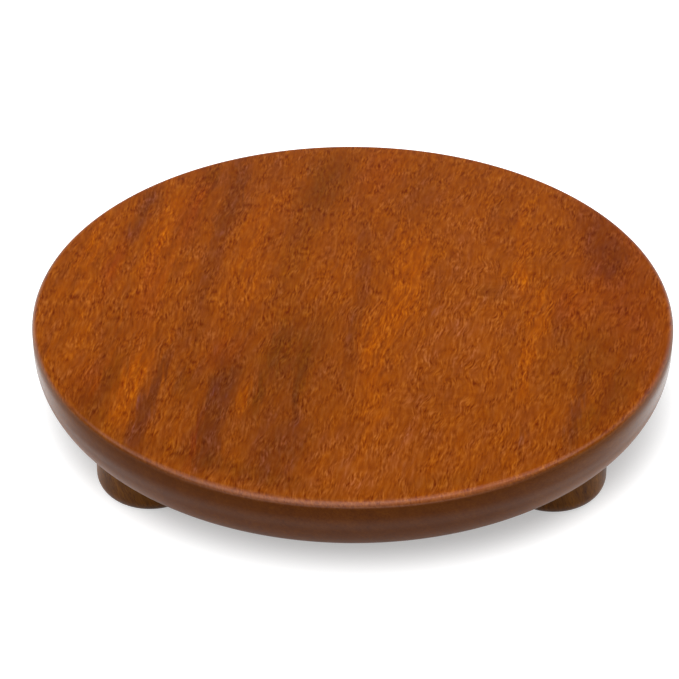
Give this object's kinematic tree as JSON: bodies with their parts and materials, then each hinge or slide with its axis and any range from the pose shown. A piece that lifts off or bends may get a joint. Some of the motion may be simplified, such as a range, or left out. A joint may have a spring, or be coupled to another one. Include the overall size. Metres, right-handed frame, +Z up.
{
  "type": "chakla rolling board",
  "caption": "Round turned wooden board with a softened rim, raised on short turned feet that are plugged and screwed in from below, for rolling out flatbread dough.",
  "frame": {"origin": "on the floor that the feet stand on, on the board's turning axis", "axes": "+Z up along the turning axis, -Y towards the front edge between the two front feet, +X to the right"},
  "size_m": [0.254, 0.254, 0.0549],
  "materials": {
    "board_wood": "reddish brown hardwood with ribbon grain under a satin lacquer",
    "foot_wood": "dark brown stained hardwood under a satin lacquer",
    "screw_steel": "zinc plated, satin"
  },
  "bodies": {
    "root": {"rolling_board": "board_wood", "foot_front_left": "foot_wood", "foot_front_right": "foot_wood", "foot_rear": "foot_wood", "screw_front_left": "screw_steel", "screw_front_right": "screw_steel", "screw_rear": "screw_steel"}
  },
  "joints": []
}
